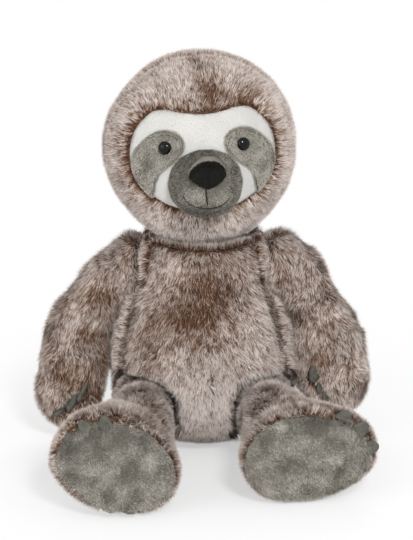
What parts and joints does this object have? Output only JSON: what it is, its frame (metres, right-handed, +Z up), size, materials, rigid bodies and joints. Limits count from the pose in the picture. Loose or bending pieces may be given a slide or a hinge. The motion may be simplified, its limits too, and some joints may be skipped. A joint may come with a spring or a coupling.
{
  "type": "plush sloth",
  "caption": "Seated soft toy sloth with stuffed head, torso, arms and legs, a white face mask with grey eye patches, padded muzzle, felt claws and soles.",
  "frame": {"origin": "middle of the small flat under the seat, on the surface the toy sits on", "axes": "+Z up, -Y the way the toy faces, +X to the toy's own left"},
  "size_m": [0.2519, 0.2263, 0.2889],
  "materials": {
    "fur_cloth": "long soft pile, tips frosted pale over a brown base",
    "white_cloth": "short brushed pile",
    "grey_cloth": "short brushed pile",
    "black_felt": "felt",
    "claw_felt": "felt",
    "black_thread": "stitched thread",
    "seam_thread": "sewing thread",
    "stuffing": "loose polyester fibre",
    "eye_plastic": "polished",
    "washer_plastic": "moulded"
  },
  "bodies": {
    "torso": {"torso_front_panel": "fur_cloth", "torso_back_left": "fur_cloth", "torso_back_right": "fur_cloth", "torso_fill": "stuffing"},
    "neck_seam": {"neck_thread": "seam_thread"},
    "head": {"head_front_left": "fur_cloth", "head_front_right": "fur_cloth", "head_back": "fur_cloth", "face_mask": "white_cloth", "left_eye_patch": "grey_cloth", "right_eye_patch": "grey_cloth", "muzzle": "grey_cloth", "nose": "black_felt", "lip_stitch": "black_thread", "mouth_stitch": "black_thread", "right_eye": "eye_plastic", "right_eye_washer": "washer_plastic", "left_eye": "eye_plastic", "left_eye_washer": "washer_plastic", "head_fill": "stuffing"},
    "right_shoulder_seam": {"right_shoulder_thread": "seam_thread"},
    "right_arm": {"right_arm_front": "fur_cloth", "right_arm_back": "fur_cloth", "right_arm_fill": "stuffing", "right_hand_claw_1": "claw_felt", "right_hand_claw_2": "claw_felt", "right_hand_claw_3": "claw_felt"},
    "right_hip_seam": {"right_hip_thread": "seam_thread"},
    "right_leg": {"right_leg_inner": "fur_cloth", "right_leg_outer": "fur_cloth", "right_leg_fill": "stuffing", "right_sole": "grey_cloth", "right_foot_claw_1": "claw_felt", "right_foot_claw_2": "claw_felt", "right_foot_claw_3": "claw_felt"},
    "left_shoulder_seam": {"left_shoulder_thread": "seam_thread"},
    "left_arm": {"left_arm_front": "fur_cloth", "left_arm_back": "fur_cloth", "left_arm_fill": "stuffing", "left_hand_claw_1": "claw_felt", "left_hand_claw_2": "claw_felt", "left_hand_claw_3": "claw_felt"},
    "left_hip_seam": {"left_hip_thread": "seam_thread"},
    "left_leg": {"left_leg_inner": "fur_cloth", "left_leg_outer": "fur_cloth", "left_leg_fill": "stuffing", "left_sole": "grey_cloth", "left_foot_claw_1": "claw_felt", "left_foot_claw_2": "claw_felt", "left_foot_claw_3": "claw_felt"}
  },
  "joints": [
    {"name": "head_nod", "type": "hinge", "parent": "torso", "child": "neck_seam", "pos_m": [0, 0.003, 0.15], "axis": [1, 0, 0], "range_deg": [-5, 3]},
    {"name": "head_turn", "type": "hinge", "parent": "neck_seam", "child": "head", "pos_m": [0, 0.003, 0.15], "axis": [0, 0, 1], "range_deg": [-30, 30]},
    {"name": "right_arm_swing", "type": "hinge", "parent": "torso", "child": "right_shoulder_seam", "pos_m": [-0.05658, 0.0035, 0.133], "axis": [-1, 0, 0], "range_deg": [-20, 90]},
    {"name": "right_arm_lift", "type": "hinge", "parent": "right_shoulder_seam", "child": "right_arm", "pos_m": [-0.05658, 0.0035, 0.133], "axis": [0, 1, 0], "range_deg": [0, 60]},
    {"name": "right_leg_raise", "type": "hinge", "parent": "torso", "child": "right_hip_seam", "pos_m": [-0.042, -0.02184, 0.033], "axis": [-1, 0, 0], "range_deg": [-15, 10]},
    {"name": "right_leg_spread", "type": "hinge", "parent": "right_hip_seam", "child": "right_leg", "pos_m": [-0.042, -0.02184, 0.033], "axis": [0, 0, -1], "range_deg": [-4, 12]},
    {"name": "left_arm_swing", "type": "hinge", "parent": "torso", "child": "left_shoulder_seam", "pos_m": [0.05658, 0.0035, 0.133], "axis": [-1, 0, 0], "range_deg": [-20, 90]},
    {"name": "left_arm_lift", "type": "hinge", "parent": "left_shoulder_seam", "child": "left_arm", "pos_m": [0.05658, 0.0035, 0.133], "axis": [0, -1, 0], "range_deg": [0, 60]},
    {"name": "left_leg_raise", "type": "hinge", "parent": "torso", "child": "left_hip_seam", "pos_m": [0.042, -0.02184, 0.033], "axis": [-1, 0, 0], "range_deg": [-15, 10]},
    {"name": "left_leg_spread", "type": "hinge", "parent": "left_hip_seam", "child": "left_leg", "pos_m": [0.042, -0.02184, 0.033], "axis": [0, 0, 1], "range_deg": [-4, 12]}
  ]
}
